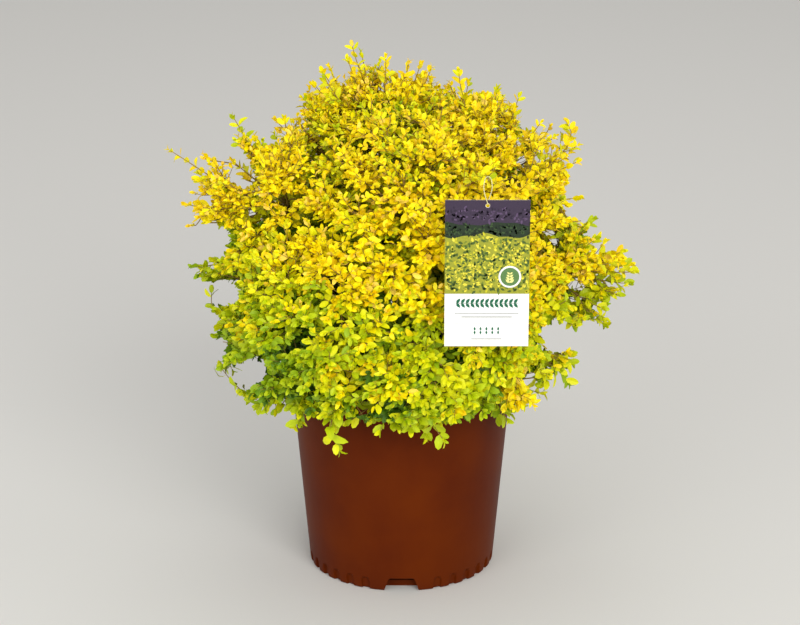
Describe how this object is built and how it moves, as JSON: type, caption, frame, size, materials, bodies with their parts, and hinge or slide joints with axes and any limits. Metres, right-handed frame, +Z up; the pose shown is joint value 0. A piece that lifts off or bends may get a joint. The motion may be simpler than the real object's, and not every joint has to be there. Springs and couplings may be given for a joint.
{
  "type": "potted golden privet shrub",
  "caption": "Rounded golden-leaved privet shrub in a tapered nursery pot with a fluted foot, a hang tag on a loop hooked over one twig.",
  "frame": {"origin": "centre of the pot's flat underside, on the floor it stands on", "axes": "+Z up the pot's axis, -Y to the front, where the hang tag is, +X to the plant's right as seen from the front"},
  "size_m": [0.4997, 0.4439, 0.5735],
  "materials": {
    "pot_plastic": "semi-gloss, red-brown",
    "potting_mix": "loose dark bark mix",
    "bark": "grey-brown bark",
    "foliage": "satin golden leaves",
    "tag_card": "printed card",
    "tag_cord": "thin tie"
  },
  "bodies": {
    "root": {"bough_back_left": "bark", "bough_back_right": "bark", "bough_front_left": "bark", "bough_front_right": "bark", "bough_left": "bark", "bough_low_back": "bark", "bough_low_back_left": "bark", "bough_low_back_right": "bark", "bough_low_front": "bark", "bough_low_front_left": "bark", "bough_low_front_right": "bark", "bough_right": "bark", "bough_top": "bark", "bough_upper_back_left": "bark", "bough_upper_back_right": "bark", "bough_upper_front": "bark", "bough_upper_left": "bark", "bough_upper_right": "bark", "foliage_back_left": "foliage", "foliage_back_right": "foliage", "foliage_front_left": "foliage", "foliage_front_right": "foliage", "foliage_left": "foliage", "foliage_low_back": "foliage", "foliage_low_back_left": "foliage", "foliage_low_back_right": "foliage", "foliage_low_front": "foliage", "foliage_low_front_left": "foliage", "foliage_low_front_right": "foliage", "foliage_right": "foliage", "foliage_top": "foliage", "foliage_upper_back_left": "foliage", "foliage_upper_back_right": "foliage", "foliage_upper_front": "foliage", "foliage_upper_left": "foliage", "foliage_upper_right": "foliage", "hang_tag": "tag_card", "pot": "pot_plastic", "soil": "potting_mix", "tag_loop": "tag_cord", "trunk": "bark"}
  },
  "joints": []
}
